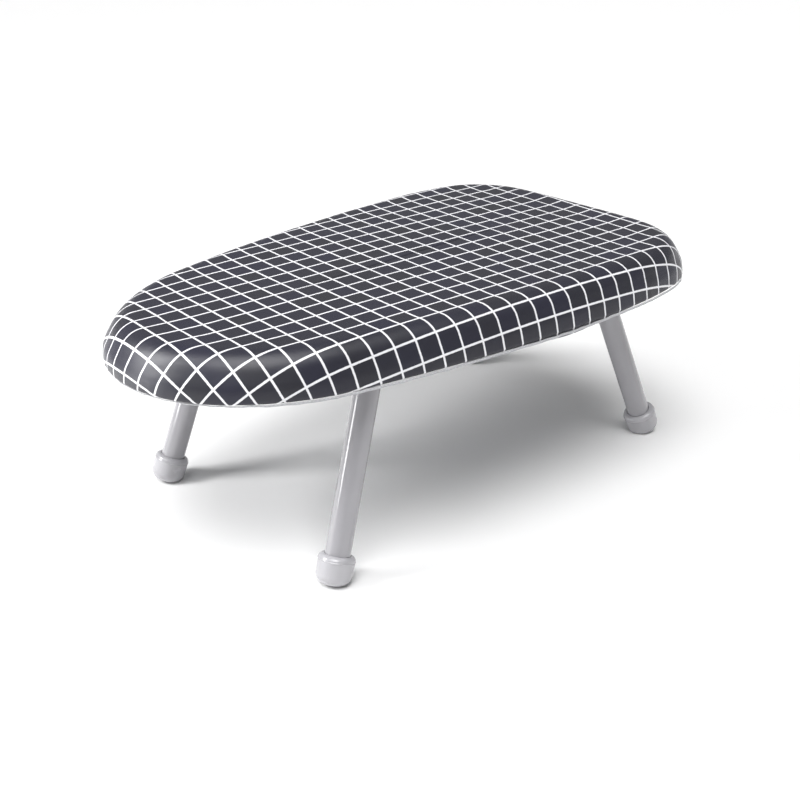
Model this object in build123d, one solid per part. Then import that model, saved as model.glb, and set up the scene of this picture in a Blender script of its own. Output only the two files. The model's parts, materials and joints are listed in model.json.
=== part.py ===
from build123d import *
from math import cos, radians, sin, tan
import os

# Table-top ironing board with two folding leg frames. Millimetres.
# Frame: origin on the table, under the centre of the board. +X runs from the pointed nose
# to the wide tail, +Y to the left of someone who faces the tail, +Z up.

# Board outline, seen from above. The nose, shoulder, side, haunch, corner and tail edge are
# arcs that run into each other. Two of each half's radii follow from the length and the width.
board_length = 590.0
board_width = 350.0
board_height = 215.0        # table to ironing surface
widest_from_tail = 146.0    # where the board is widest, measured from the tail edge
nose_radius = 124.0
nose_turn = 46.0            # degrees that each arc turns
shoulder_turn = 30.7
haunch_turn = 11.1
corner_radius = 94.0
corner_turn = 76.0

# Edge of the padded top
edge_depth = 38.0           # ironing surface down to the cover's lower edge
side_slope = 19.0           # degrees that the side leans in, going up
shoulder_round = 22.0       # rounding between the top and the side, outside the cover

# Layers, from the outside in
cover_thickness = 0.8
felt_thickness = 2.0
foam_thickness = 8.0
deck_sheet = 0.8
deck_round = 10.0
deck_skirt_gap = 2.0        # deck skirt's edge above the cover's lower edge
felt_skirt_gap = 3.0
hem_width = 20.0            # cover turned under the board
binding_height = 3.4
binding_thickness = 0.6
elastic_width = 7.0
elastic_thickness = 0.8

# Vent holes in the deck
vent_radius = 4.0
vent_pitch = 34.0
vent_edge_margin = 44.0
vent_rib_margin = 3.0

# Cross ribs and spine: hat channels welded under the deck
rib_depth = 6.2
rib_crown_width = 56.0
rib_flange = 9.0
rib_sheet = 1.0
rib_end_gap = 3.0           # rib's end to the deck's rounded shoulder
spine_crown_width = 26.0
spine_end_gap = 4.0

# Leg frames: one bent tube each, which turns in two saddles under its rib
tube_radius = 11.3
tube_wall = 1.2
tube_bend = 28.0            # centreline radius of the two bends
tube_to_rib = 2.0
nose_pivot_x = -123.1
tail_pivot_x = 170.3
leg_inset = 65.3            # board's widest edge to a leg's centreline, at the crossbar
nose_lean = 19.6            # degrees from vertical, towards the nose
tail_lean = 21.9            # degrees from vertical, towards the tail
leg_splay = 5.3             # degrees that each leg leans out, in its frame's plane
nose_folded_gap = 0.0       # degrees left between the folded frame and the board
tail_folded_gap = 16.5      # the tail frame comes to lie over the folded nose frame

# Foot caps
foot_radius = 16.4
foot_height = 27.0
foot_overrun = 5.0          # how far the cap passes the table plane before it is cut flat
foot_top_round = 3.2
foot_bottom_round = 9.0
foot_floor = 7.0            # plastic under the tube's end

# Saddles, liners and screws
running_clearance = 0.05
seat_clearance = 0.02
liner_wall = 1.45
liner_flange = 1.8
liner_flange_thickness = 1.2
saddle_strap = 1.6
saddle_width = 18.0
saddle_ear = 12.0
saddle_inset = 51.7         # leg's centreline at the crossbar to the middle of the saddle
screw_radius = 2.0
screw_clearance = 0.2
screw_head_radius = 3.8
screw_head_height = 2.2
screw_end_gap = 0.8         # screw's end to the deck
screw_recess = 0.8
screw_recess_span = 5.3

# Stop cams, welded on the crossbars
cam_radius = 20.0
cam_thickness = 6.0
stop_gap = 0.05

deck_inset = cover_thickness + felt_thickness
deck_top = board_height - cover_thickness - felt_thickness - foam_thickness
deck_underside = deck_top - deck_sheet
rib_face = deck_underside - rib_depth
pivot_z = rib_face - tube_to_rib - tube_radius
lower_edge = board_height - edge_depth
leg_spacing = board_width - 2 * leg_inset
saddle_offset_y = leg_spacing / 2 - saddle_inset
screw_length = saddle_strap + rib_depth - screw_end_gap


def arc_step(start, end):
    """Displacement of a unit arc that turns clockwise between two headings, in degrees from +X."""
    start = radians(start)
    end = radians(end)
    return Vector(sin(start) - sin(end), cos(end) - cos(start))


def two_radii(first, second, span):
    """The radii of two arcs, given as unit displacements, that together cover the span."""
    cross = first.X * second.Y - first.Y * second.X
    first_radius = (span.X * second.Y - span.Y * second.X) / cross
    second_radius = (first.X * span.Y - first.Y * span.X) / cross
    return first_radius, second_radius


def outline_arcs():
    """The arcs of one half of the outline as (radius, start heading, end heading)."""
    after_nose = 90 - nose_turn
    after_shoulder = after_nose - shoulder_turn
    after_corner = -haunch_turn - corner_turn
    widest = Vector(board_length / 2 - widest_from_tail, board_width / 2)
    nose_end = Vector(-board_length / 2, 0) + arc_step(90, after_nose) * nose_radius
    shoulder_radius, side_radius = two_radii(
        arc_step(after_nose, after_shoulder), arc_step(after_shoulder, 0), widest - nose_end
    )
    corner = arc_step(-haunch_turn, after_corner) * corner_radius
    tail_centre = Vector(board_length / 2, 0)
    haunch_radius, tail_radius = two_radii(
        arc_step(0, -haunch_turn), arc_step(after_corner, -90), tail_centre - widest - corner
    )
    return [
        (nose_radius, 90, after_nose),
        (shoulder_radius, after_nose, after_shoulder),
        (side_radius, after_shoulder, 0),
        (haunch_radius, 0, -haunch_turn),
        (corner_radius, -haunch_turn, after_corner),
        (tail_radius, after_corner, -90),
    ]


def outline(inset, z=0.0):
    """The board's outline as a face at height z, moved inwards by the inset."""
    place = Vector(-board_length / 2 + inset, 0, z)
    half = []
    for radius, start, end in outline_arcs():
        middle = place + arc_step(start, (start + end) / 2) * (radius - inset)
        finish = place + arc_step(start, end) * (radius - inset)
        half.append(ThreePointArc(place, middle, finish))
        place = finish
    other_half = [mirror(edge, about=Plane.XZ) for edge in half]
    return make_face(half + other_half)


def half_width(x, inset):
    """Half the outline's width at a station along the board."""
    strip = outline(inset) & Pos(x, 0, 0) * Rectangle(0.1, 2 * board_width)
    return strip.bounding_box().max.Y


def pillow(inset, top, rounding):
    """A solid with sloping sides and a rounded upper edge, from the lower edge up to the top."""
    lean_in = (top - lower_edge) * tan(radians(side_slope))
    block = loft([outline(inset, lower_edge), outline(inset + lean_in, top)], ruled=True)
    upper_face = block.faces().sort_by(Axis.Z)[-1]
    return fillet(upper_face.edges(), rounding)


def above(z):
    """A block that holds everything higher than z."""
    return Pos(0, 0, z + board_height) * Box(2 * board_length, 2 * board_width, 2 * board_height)


def ring(outer_inset, inner_inset, z, thickness):
    """A flat band that follows the outline."""
    band = outline(outer_inset, z) - outline(inner_inset, z)
    return extrude(band, thickness, dir=(0, 0, 1))


def check_cover():
    """The cloth cover: top, sides, and the hem turned under the board."""
    skin = pillow(0, board_height, shoulder_round)
    inside = pillow(cover_thickness, board_height - cover_thickness, shoulder_round - cover_thickness)
    hem = ring(cover_thickness / 2, hem_width, lower_edge, cover_thickness)
    return skin - inside + hem


def felt_layer():
    """The felt under the cover, down to near the cover's lower edge."""
    top = board_height - cover_thickness
    outside = pillow(cover_thickness, top, shoulder_round - cover_thickness)
    inside = pillow(deck_inset, top - felt_thickness, shoulder_round - deck_inset)
    return (outside - inside) & above(lower_edge + felt_skirt_gap)


def foam_pad():
    """The foam slab that lies on the deck."""
    top = board_height - cover_thickness - felt_thickness
    return pillow(deck_inset, top, shoulder_round - deck_inset) & above(deck_top)


def vent_places():
    """Centres of the vent holes, clear of the deck's edge and of the ribs and spine."""
    rib_half = rib_crown_width / 2 + rib_flange + vent_radius + vent_rib_margin
    spine_half = spine_crown_width / 2 + rib_flange + vent_radius + vent_rib_margin
    across = int(board_width / 2 / vent_pitch) + 1
    along = int(board_length / 2 / vent_pitch) + 1
    places = []
    for column in range(-along, along + 1):
        x = column * vent_pitch
        near_rib = min(abs(x - nose_pivot_x), abs(x - tail_pivot_x)) < rib_half
        inside_ends = abs(x) < board_length / 2 - vent_edge_margin
        if near_rib or not inside_ends:
            continue
        reach = half_width(x, vent_edge_margin)
        for row in range(-across, across + 1):
            y = (row + column % 2 / 2) * vent_pitch
            if spine_half < abs(y) < reach:
                places.append((x, y))
    return places


def deck_tray():
    """The pressed steel tray: flat deck, rounded shoulder and skirt, with vent holes."""
    outside = pillow(deck_inset, deck_top, deck_round)
    sheet_across = deck_sheet / cos(radians(side_slope))
    inside = pillow(deck_inset + sheet_across, deck_underside, deck_round - deck_sheet)
    tray = (outside - inside) & above(lower_edge + deck_skirt_gap)
    vent = Cylinder(vent_radius, 4 * deck_sheet)
    return tray - [Pos(x, y, deck_top) * vent for x, y in vent_places()]


def hem_binding():
    """The light tape over the cover's lower edge, an L in section."""
    outer = -binding_thickness
    side = ring(outer, 0, lower_edge - binding_thickness, binding_height)
    side = side - pillow(0, board_height, shoulder_round)
    under = ring(outer, 4 * binding_thickness, lower_edge - binding_thickness, binding_thickness)
    return side + under


def elastic_band():
    """The elastic sewn under the inner edge of the hem."""
    return ring(hem_width - elastic_width, hem_width, lower_edge - elastic_thickness, elastic_thickness)


def hat_channel(length, crown_width):
    """A hat channel along Y, crown down at the rib face, flanges up against the deck."""
    half_crown = crown_width / 2
    outer_half = half_crown + rib_flange
    crown = Pos(0, rib_face + rib_sheet / 2) * Rectangle(crown_width, rib_sheet)
    section = Sketch() + crown
    for side in (-1, 1):
        web_x = side * (half_crown - rib_sheet / 2)
        section += Pos(web_x, rib_face + rib_depth / 2) * Rectangle(rib_sheet, rib_depth)
        flange_x = side * (half_crown + outer_half - rib_sheet) / 2
        flange_width = rib_flange + rib_sheet
        section += Pos(flange_x, deck_underside - rib_sheet / 2) * Rectangle(flange_width, rib_sheet)
    channel = extrude(Plane.XZ * section, length / 2, both=True)
    return channel


def deck_flat_inset():
    """The inset at which the deck's underside turns into its rounded shoulder."""
    sheet_across = deck_sheet / cos(radians(side_slope))
    rise = (deck_underside - lower_edge) * tan(radians(side_slope))
    rounding = (deck_round - deck_sheet) * tan(radians(90 - side_slope) / 2)
    return deck_inset + sheet_across + rise + rounding


def cross_rib(pivot_x):
    """The rib over one pivot, with a hole for each saddle screw."""
    inset = deck_flat_inset() + rib_end_gap
    edge = rib_crown_width / 2 + rib_flange
    length = 2 * min(half_width(pivot_x - edge, inset), half_width(pivot_x + edge, inset))
    rib = Pos(pivot_x, 0, 0) * hat_channel(length, rib_crown_width)
    hole = Cylinder(screw_radius + seat_clearance, 4 * rib_sheet)
    return rib - [Pos(x, y, rib_face) * hole for x, y in screw_places(pivot_x)]


def spine():
    """The channel along the centreline, between the two ribs."""
    rib_half = rib_crown_width / 2 + rib_flange + spine_end_gap
    start = nose_pivot_x + rib_half
    end = tail_pivot_x - rib_half
    turned = Rot(0, 0, 90) * hat_channel(end - start, spine_crown_width)
    return Pos((start + end) / 2, 0, 0) * turned


def screw_offset():
    """A screw's distance from the pivot axis, in the middle of the saddle's ear."""
    return tube_radius + running_clearance + liner_wall + saddle_strap + saddle_ear / 2


def screw_places(pivot_x):
    """Centres of the four saddle screws at one rib."""
    places = []
    for y in (-saddle_offset_y, saddle_offset_y):
        for side in (-1, 1):
            places.append((pivot_x + side * screw_offset(), y))
    return places


def saddle(pivot_x, y):
    """A strap that holds the crossbar up to the rib, with an ear on each side."""
    inner = tube_radius + running_clearance + liner_wall
    outer = inner + saddle_strap
    ear_z = rib_face - pivot_z
    section = Circle(outer) & Pos(0, -outer / 2) * Rectangle(2 * outer, outer)
    section += Pos(0, ear_z / 2) * Rectangle(2 * outer, ear_z)
    ears = Pos(0, ear_z - saddle_strap / 2) * Rectangle(2 * (outer + saddle_ear), saddle_strap)
    section = section + ears - Circle(inner)
    section -= Pos(0, ear_z / 2) * Rectangle(2 * inner, ear_z)
    strap = extrude(Plane.XZ * section, saddle_width / 2, both=True)
    hole = Cylinder(screw_radius + screw_clearance, 4 * saddle_strap)
    holes = [Pos(side * screw_offset(), 0, ear_z) * hole for side in (-1, 1)]
    return Pos(pivot_x, y, pivot_z) * (strap - holes)


def liner(pivot_x, y):
    """The nylon liner in a saddle, with a flange at each end."""
    bore = tube_radius + running_clearance
    barrel = Circle(bore + liner_wall)
    flange_radius = bore + liner_wall + liner_flange
    flange = barrel + (Circle(flange_radius) & lower_half(flange_radius))
    body = extrude(Plane.XZ * barrel, saddle_width / 2, both=True)
    for side in (-1, 1):
        place = side * (saddle_width + liner_flange_thickness) / 2
        collar = extrude(Plane.XZ * flange, liner_flange_thickness / 2, both=True)
        body += Pos(0, place, 0) * collar
    bore_hole = extrude(Plane.XZ * Circle(bore), saddle_width, both=True)
    return Pos(pivot_x, y, pivot_z) * (body - bore_hole)


def lower_half(size):
    """A square that covers the half of the section plane under the pivot axis."""
    return Pos(0, -size / 2) * Rectangle(2 * size, size)


def saddle_screw(x, y):
    """A pan-head screw up through a saddle's ear and the rib, with a cross recess."""
    ear_bottom = rib_face - saddle_strap
    shank = Pos(0, 0, ear_bottom + screw_length / 2) * Cylinder(screw_radius, screw_length)
    head = Pos(0, 0, ear_bottom - screw_head_height / 2) * Cylinder(screw_head_radius, screw_head_height)
    rim = head.edges().group_by(Axis.Z)[0]
    head = fillet(rim, screw_head_height / 2)
    slot = Box(screw_recess_span, screw_recess, screw_head_height)
    cross = slot + Rot(0, 0, 90) * slot
    screw = shank + head - Pos(0, 0, ear_bottom - screw_head_height) * cross
    return Pos(x, y, 0) * screw


def frame_place(pivot_x, lean):
    """Where a leg frame's own plane goes: its x along Y, its y down the legs.

    The lean is in degrees from vertical, and positive towards the tail.
    """
    down_x = sin(radians(lean))
    down_z = -cos(radians(lean))
    normal = Vector(0, 1, 0).cross(Vector(down_x, 0, down_z))
    return Plane(origin=(pivot_x, 0, pivot_z), x_dir=(0, 1, 0), z_dir=normal)


def leg_reach(lean):
    """Length along a leg, from the pivot axis to the table."""
    return pivot_z / cos(radians(lean)) / cos(radians(leg_splay))


def leg_point(side, reach):
    """A point on a leg's centreline in the frame's plane, a reach down from the pivot axis."""
    out = leg_spacing / 2 + reach * sin(radians(leg_splay))
    return Vector(side * out, reach * cos(radians(leg_splay)))


def leg_frame(pivot_x, lean):
    """The crossbar and both legs, bent from one tube."""
    reach = leg_reach(lean) - foot_floor
    points = [
        leg_point(-1, reach),
        leg_point(-1, 0),
        leg_point(1, 0),
        leg_point(1, reach),
    ]
    path = FilletPolyline(*points, radius=tube_bend)
    section = Circle(tube_radius) - Circle(tube_radius - tube_wall)
    tube = sweep(Plane(origin=path @ 0, z_dir=path % 0) * section, path)
    return frame_place(pivot_x, lean) * tube


def foot_cap(pivot_x, lean, side):
    """A plastic cap on a leg's end, round-shouldered and cut flat where it stands."""
    reach = leg_reach(lean)
    height = foot_height + foot_overrun
    tip = leg_point(side, reach + foot_overrun)
    along = (tip - leg_point(side, reach)).normalized()
    cap = Cylinder(foot_radius, height, align=(Align.CENTER, Align.CENTER, Align.MIN))
    edges = cap.edges().filter_by(GeomType.CIRCLE).sort_by(Axis.Z)
    cap = fillet(edges[-1], foot_top_round)
    cap = fillet(cap.edges().filter_by(GeomType.CIRCLE).sort_by(Axis.Z)[0], foot_bottom_round)
    socket_start = foot_overrun + foot_floor
    socket = Cylinder(tube_radius + seat_clearance, height, align=(Align.CENTER, Align.CENTER, Align.MIN))
    cap -= Pos(0, 0, socket_start) * socket
    own_plane = Plane(origin=(tip.X, tip.Y, 0), x_dir=(0, 0, 1), z_dir=(-along.X, -along.Y, 0))
    placed = frame_place(pivot_x, lean) * (own_plane * cap)
    return placed & above(0)


def stop_cam(pivot_x, lean, folded_gap):
    """A half-moon plate on the crossbar that meets the rib at both ends of the fold.

    Its section is drawn for a frame that leans to the nose, and mirrored for the other one.
    """
    contact = rib_face - pivot_z - stop_gap
    turn = 90 + abs(lean) - folded_gap
    bite = (cam_radius**2 - contact**2) ** 0.5
    open_inner = Vector(0, contact)
    open_outer = Vector(-bite, contact)
    folded_inner = open_inner.rotate(Axis.Z, -turn)
    folded_outer = Vector(bite, contact).rotate(Axis.Z, -turn)
    far_side = Vector(-cam_radius, 0).rotate(Axis.Z, (180 - turn) / 2)
    near_side = open_inner.rotate(Axis.Z, -turn / 2)
    edges = [
        Line(open_inner, open_outer),
        ThreePointArc(open_outer, far_side, folded_outer),
        Line(folded_outer, folded_inner),
        ThreePointArc(folded_inner, near_side, open_inner),
    ]
    section = make_face(edges) - Circle(tube_radius)
    plate = extrude(Plane.XZ * section, cam_thickness / 2, both=True)
    if lean > 0:
        plate = mirror(plate, about=Plane.YZ)
    return Pos(pivot_x, 0, pivot_z) * plate


def frame_parts(end, pivot_x, lean, folded_gap):
    """Every piece that belongs to one end's leg frame, by node name."""
    pieces = {
        f"{end}_leg_frame": leg_frame(pivot_x, lean),
        f"{end}_stop_cam": stop_cam(pivot_x, lean, folded_gap),
        f"{end}_rib": cross_rib(pivot_x),
    }
    for side, name in ((-1, "right"), (1, "left")):
        saddle_y = side * saddle_offset_y
        pieces[f"{end}_foot_{name}"] = foot_cap(pivot_x, lean, side)
        pieces[f"{end}_saddle_{name}"] = saddle(pivot_x, saddle_y)
        pieces[f"{end}_liner_{name}"] = liner(pivot_x, saddle_y)
    for number, (x, y) in enumerate(screw_places(pivot_x), start=1):
        pieces[f"{end}_saddle_screw_{number}"] = saddle_screw(x, y)
    return pieces


def board_parts():
    """The padded top, by node name."""
    return {
        "deck_tray": deck_tray(),
        "deck_spine": spine(),
        "foam_pad": foam_pad(),
        "felt_layer": felt_layer(),
        "check_cover": check_cover(),
        "hem_binding": hem_binding(),
        "elastic_band": elastic_band(),
    }


def main():
    pieces = board_parts()
    pieces.update(frame_parts("nose", nose_pivot_x, -nose_lean, nose_folded_gap))
    pieces.update(frame_parts("tail", tail_pivot_x, tail_lean, tail_folded_gap))
    os.makedirs("parts", exist_ok=True)
    for name, shape in pieces.items():
        export_step(shape, f"parts/{name}.step")


main()
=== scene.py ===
# %% [markdown]
# # A table-top ironing board, made for Blender
#
# The board is a padded steel tray on two folding tube frames. The frame of steel and plastic
# parts comes in ready made, each at its true size and place, and this lesson dresses it: the
# check cover that is pulled over the padding, the tape and the elastic on its hem, the foot
# caps, the welds, and a finish for every part.

# %% Load the frame
import bpy
import json
import math
import numpy as np
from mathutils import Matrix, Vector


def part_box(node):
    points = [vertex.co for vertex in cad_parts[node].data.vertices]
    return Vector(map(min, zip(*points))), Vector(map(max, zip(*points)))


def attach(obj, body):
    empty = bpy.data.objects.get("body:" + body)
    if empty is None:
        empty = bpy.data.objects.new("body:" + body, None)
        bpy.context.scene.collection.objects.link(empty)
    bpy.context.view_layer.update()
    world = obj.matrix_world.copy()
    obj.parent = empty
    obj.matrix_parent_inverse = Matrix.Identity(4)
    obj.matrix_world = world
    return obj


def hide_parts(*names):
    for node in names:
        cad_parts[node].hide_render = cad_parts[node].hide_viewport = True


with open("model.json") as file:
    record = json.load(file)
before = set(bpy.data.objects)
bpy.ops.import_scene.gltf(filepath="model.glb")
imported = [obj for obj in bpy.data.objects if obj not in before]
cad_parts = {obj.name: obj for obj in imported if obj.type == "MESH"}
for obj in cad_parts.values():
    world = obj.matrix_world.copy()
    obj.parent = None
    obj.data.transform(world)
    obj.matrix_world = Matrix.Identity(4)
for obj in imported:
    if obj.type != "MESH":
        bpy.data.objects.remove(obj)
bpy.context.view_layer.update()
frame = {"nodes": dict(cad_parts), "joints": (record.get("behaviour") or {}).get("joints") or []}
nodes = frame["nodes"]
MM = 0.001
print("parts in the frame:", len(nodes))

# %% [markdown]
# ## Surfaces from two parameters
#
# Most pieces here are a grid: one parameter runs round the piece, the other runs along its
# profile. Such a surface could be modelled by hand with extrusions, but worked out as one
# array it stays smooth, exact and easy to change. `grid_piece` turns an array of points into a
# mesh. A grid that closes on itself shares its first and last row or column, so no seam is left.

# %% Grid to mesh
def link(name, mesh):
    """A new object for the mesh, in the scene."""
    piece = bpy.data.objects.new(name, mesh)
    bpy.context.scene.collection.objects.link(piece)
    return piece


def grid_faces(rows, columns, wrap_rows, wrap_columns):
    """Corner numbers of the quads of a grid whose point (r, c) has the number r * columns + c."""
    r = np.arange(rows if wrap_rows else rows - 1)
    c = np.arange(columns if wrap_columns else columns - 1)
    r, c = np.meshgrid(r, c, indexing="ij")
    next_r, next_c = (r + 1) % rows, (c + 1) % columns
    quads = [r * columns + c, r * columns + next_c, next_r * columns + next_c, next_r * columns + c]
    return np.stack(quads, -1).reshape(-1, 4)


def mesh_from(name, points, faces, uv=None):
    """A smooth-shaded mesh from arrays of points and of faces with equal numbers of corners."""
    corners = faces.shape[1]
    mesh = bpy.data.meshes.new(name)
    mesh.vertices.add(len(points))
    mesh.vertices.foreach_set("co", points.astype(np.float32).ravel())
    mesh.loops.add(faces.size)
    mesh.loops.foreach_set("vertex_index", faces.astype(np.int32).ravel())
    mesh.polygons.add(len(faces))
    mesh.polygons.foreach_set("loop_start", np.arange(0, faces.size, corners, dtype=np.int32))
    mesh.polygons.foreach_set("use_smooth", np.ones(len(faces), bool))
    if uv is not None:
        layer = mesh.uv_layers.new(name="UVMap")
        layer.data.foreach_set("uv", uv[faces.ravel()].astype(np.float32).ravel())
    mesh.update(calc_edges=True)
    mesh.validate()
    return mesh


def grid_piece(name, grid, wrap_rows=False, wrap_columns=True, uv=None):
    """An object from an array of points of shape (rows, columns, 3)."""
    rows, columns = grid.shape[:2]
    faces = grid_faces(rows, columns, wrap_rows, wrap_columns)
    flat_uv = None if uv is None else uv.reshape(-1, 2)
    return link(name, mesh_from(name, grid.reshape(-1, 3), faces, flat_uv))


# %% [markdown]
# ## The board's outline
#
# Cover, tape and elastic all follow one closed curve, the lower edge of the cover. It could be
# typed in again as arcs, but it is already there in the frame's plain cover, so it is read from
# that mesh. The mesh only has points where its arcs need them, so they are spread evenly and
# then smoothed a little, which leaves a curve without flats that would show in a highlight.

# %% Read and smooth the outline
from mathutils.geometry import convex_hull_2d

AROUND = 576                    # points round the board
OUTLINE_SMOOTH = 4 * MM
BEND_SMOOTH = 8 * MM
ARC_STEPS = 24                  # points on each cubic arc while the loop is measured


def node_points(name):
    """The corners of a frame part's mesh, as an array."""
    mesh = nodes[name].data
    points = np.empty(len(mesh.vertices) * 3, np.float32)
    mesh.vertices.foreach_get("co", points)
    return points.reshape(-1, 3).astype(float)


def even_loop(points, count):
    """A closed line through the points as cubic arcs, with count points spread evenly by length.

    Each cubic leaves its point along the mean of the two neighbouring slopes, each weighted by
    the other one's length, which is the direction of the circle through three points.
    """
    ahead = np.roll(points, -1, 0) - points
    gap = np.linalg.norm(ahead, axis=1, keepdims=True)
    slope = ahead / gap
    before, before_gap = np.roll(slope, 1, 0), np.roll(gap, 1, 0)
    tangent = (before * gap + slope * before_gap) / (gap + before_gap)
    t = np.linspace(0, 1, ARC_STEPS, endpoint=False)[None, :, None]
    p0, p1 = points[:, None], np.roll(points, -1, 0)[:, None]
    m0, m1 = (tangent * gap)[:, None], (np.roll(tangent, -1, 0) * gap)[:, None]
    fine = (
        (2 * t**3 - 3 * t**2 + 1) * p0 + (t**3 - 2 * t**2 + t) * m0
        + (3 * t**2 - 2 * t**3) * p1 + (t**3 - t**2) * m1
    ).reshape(-1, 2)
    closed = np.vstack([fine, fine[:1]])
    length = np.concatenate([[0], np.cumsum(np.linalg.norm(np.diff(closed, axis=0), axis=1))])
    places = np.arange(count) / count * length[-1]
    return np.stack([np.interp(places, length, closed[:, k]) for k in range(2)], -1), length[-1]


def smooth_loop(values, sigma):
    """A closed row of values, averaged with a bell curve that is sigma steps wide."""
    count = len(values)
    reach = np.minimum(np.arange(count), count - np.arange(count))
    bell = np.exp(-0.5 * (reach / sigma) ** 2)
    weights = np.fft.fft(bell / bell.sum()).reshape(-1, *[1] * (values.ndim - 1))
    return np.real(np.fft.ifft(np.fft.fft(values, axis=0) * weights, axis=0))


cover_low, cover_high = (np.array(corner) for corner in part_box("check_cover"))
cover_points = node_points("check_cover")
on_ring = cover_points[:, 2] < cover_low[2] + 0.01 * MM
lower_ring = np.unique(cover_points[on_ring, :2].round(6), axis=0)
hull = convex_hull_2d([tuple(p) for p in lower_ring])
outline, perimeter = even_loop(lower_ring[hull], AROUND)
step = perimeter / AROUND
outline = smooth_loop(outline, OUTLINE_SMOOTH / step)

along = np.roll(outline, -1, 0) - np.roll(outline, 1, 0)
along /= np.linalg.norm(along, axis=1, keepdims=True)
outward = np.stack([along[:, 1], -along[:, 0]], -1)
outward *= np.sign((outward * outline).sum())
bend = np.linalg.norm(np.roll(along, -1, 0) - np.roll(along, 1, 0), axis=1) / (2 * step)
bend = smooth_loop(bend, BEND_SMOOTH / step)
print("perimeter", round(perimeter, 4), "m, tightest radius", round(1 / bend.max(), 4), "m")

# %% [markdown]
# ## The edge of the padded top
#
# Seen in section, the cover comes out from under the board, turns up round its lower edge,
# leans in over the side and rolls over the shoulder onto the flat top. A bevel would give a
# plain round, but padding makes a softer line: the side swells a little, the shoulder has no
# sharp start, and at the nose and the tail the elastic pulls the lower edge further in. So the
# profile is drawn as corners with their roundings, and then eased like the outline was.

# %% The edge profile
board_top = cover_high[2]
lower_edge = cover_low[2]
CLOTH = 0.8 * MM
SIDE_SLOPE = math.radians(19)   # the side leans in by this much
SHOULDER = 22 * MM              # radius of the rounding at the top
LOWER_ROUND = 2.2 * MM
HEM_WIDTH = 20 * MM
SWELL = 0.8 * MM                # how far the side swells past its straight line
SWELL_POWER = 1.5
EDGE_ROWS = 46
FLAT_REACH = 1.6                # length of the flat part that is drawn, in shoulder radii
HEM_STEPS, LOWER_STEPS, SIDE_STEPS, SHOULDER_STEPS, FLAT_STEPS = 30, 12, 40, 60, 20
PROFILE_STEPS = 800             # even steps along the section while it is smoothed
PROFILE_SMOOTH = 1.1 * MM
BELL_REACH = 60                 # how many of those steps the smoothing reaches each way


def round_corner(a, corner, b, radius, steps):
    """The points of an arc of the given radius that rounds off a corner between two lines."""
    to_a = (a - corner) / np.linalg.norm(a - corner)
    to_b = (b - corner) / np.linalg.norm(b - corner)
    half = math.acos(np.clip(to_a @ to_b, -1, 1)) / 2
    centre = corner + (to_a + to_b) / np.linalg.norm(to_a + to_b) * radius / math.sin(half)
    start = corner + to_a * radius / math.tan(half) - centre
    end = corner + to_b * radius / math.tan(half) - centre
    t = np.linspace(0, 1, steps)[:, None]
    sweep = math.acos(np.clip(start @ end / radius**2, -1, 1))
    return centre + (np.sin((1 - t) * sweep) * start + np.sin(t * sweep) * end) / math.sin(sweep)


def edge_profile():
    """The cover's section as (inset, height) rows, from the hem's inner edge to the flat top.

    The heights are from the lower edge up. Points are then spread so that half of them follow
    the section's length and half follow how much it turns.
    """
    depth = board_top - lower_edge
    inner = np.array([HEM_WIDTH, 0.0])
    lower = np.array([0.0, 0.0])
    upper = np.array([depth * math.tan(SIDE_SLOPE), depth])
    flat = upper + [SHOULDER * FLAT_REACH, 0]
    lower_arc = round_corner(inner, lower, upper, LOWER_ROUND, LOWER_STEPS)
    shoulder_arc = round_corner(lower, upper, flat, SHOULDER, SHOULDER_STEPS)
    side = np.linspace(lower_arc[-1], shoulder_arc[0], SIDE_STEPS)[1:-1]
    rise = np.sin(np.linspace(0, np.pi, len(side)))[:, None]
    lean = np.array([-math.cos(SIDE_SLOPE), math.sin(SIDE_SLOPE)])
    side = side + lean * SWELL * rise**SWELL_POWER
    hem = np.linspace(inner, lower_arc[0], HEM_STEPS)[:-1]
    top = np.linspace(shoulder_arc[-1], flat, FLAT_STEPS)[1:]
    line = np.vstack([hem, lower_arc, side, shoulder_arc, top])
    length = np.concatenate([[0], np.cumsum(np.linalg.norm(np.diff(line, axis=0), axis=1))])
    dense = np.linspace(0, length[-1], PROFILE_STEPS)
    line = np.stack([np.interp(dense, length, line[:, k]) for k in range(2)], -1)
    reach = np.arange(-BELL_REACH, BELL_REACH + 1) * (dense[1] - dense[0])
    bell = np.exp(-0.5 * (reach / PROFILE_SMOOTH) ** 2)
    padded = np.pad(line, ((BELL_REACH, BELL_REACH), (0, 0)), mode="reflect", reflect_type="odd")
    line = np.stack([np.convolve(padded[:, k], bell / bell.sum(), "valid") for k in range(2)], -1)
    heading = np.unwrap(np.arctan2(*np.gradient(line, axis=0).T[::-1]))
    turned = np.concatenate([[0], np.cumsum(np.abs(np.diff(heading)))])
    share = dense / dense[-1] + turned / turned[-1]
    picks = np.interp(np.linspace(0, 2, EDGE_ROWS), share, np.arange(len(dense)))
    rows = np.stack([np.interp(picks, np.arange(len(dense)), line[:, k]) for k in range(2)], -1)
    return rows, np.interp(picks, np.arange(len(dense)), dense)


profile, profile_length = edge_profile()
crown_inset = profile[-1, 0]
print("profile", round(profile_length[-1] / MM, 1), "mm long")
print("flat top starts", round(crown_inset / MM, 1), "mm in")

# %% [markdown]
# ## The check cover
#
# The cover is one sheet of cotton with a woven check. On the flat top the check lies flat.
# That is how real cloth goes over an edge, and it is why the lines meet the nose at a slant.
#
# The cloth is longer round its cut edge than the board is, so the elastic gathers it: ripples
# under the board, deepest where the outline bends, that fade out on the side. A cloth
# simulation could find them, but here the gathers are regular and hidden from most sides, and
# waves worked out along the edge stay clear of the tray.

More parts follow.
